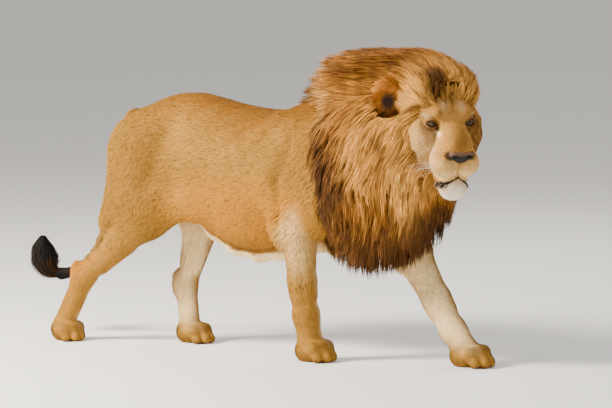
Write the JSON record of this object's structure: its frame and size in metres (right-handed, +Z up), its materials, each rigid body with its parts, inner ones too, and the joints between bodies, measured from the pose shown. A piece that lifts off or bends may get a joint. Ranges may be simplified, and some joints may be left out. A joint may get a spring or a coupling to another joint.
{
  "type": "lion",
  "caption": "Life-size still model of an adult male lion in mid-walk with a full mane, its head turned to its right and its mouth closed.",
  "frame": {"origin": "on the floor, below the middle of the overall length and width", "axes": "+X the way the lion walks, +Y to its left, +Z up"},
  "size_m": [2.1186, 0.5014, 1.2103],
  "materials": {
    "coat": "short tawny fur lying flat",
    "pale_coat": "short pale cream-tan fur",
    "mane": "long golden to rust-brown hair in locks",
    "dark_mane": "long dark brown hair in hanging locks",
    "black_hair": "coarse black hair tuft",
    "eye": "wet amber-brown eye",
    "nose": "matte dark brown-black nose leather"
  },
  "bodies": {
    "root": {"thigh_right": "coat", "shank_right": "pale_coat", "hock_right": "pale_coat", "hind_paw_right": "pale_coat", "thigh_left": "coat", "shank_left": "pale_coat", "hock_left": "pale_coat", "hind_paw_left": "pale_coat", "shoulder_right": "coat", "forearm_right": "pale_coat", "front_paw_right": "pale_coat", "shoulder_left": "coat", "forearm_left": "pale_coat", "front_paw_left": "pale_coat", "trunk": "coat", "neck": "coat", "head": "coat", "eye_right": "eye", "ear_right": "coat", "eye_left": "eye", "ear_left": "coat", "nose": "nose", "face": "coat", "lower_jaw": "pale_coat", "mane_crown": "mane", "mane_right": "mane", "mane_left": "mane", "mane_chest": "dark_mane", "tail_base": "pale_coat", "tail_middle": "pale_coat", "tail_end": "pale_coat", "tail_tuft": "black_hair"}
  },
  "joints": []
}
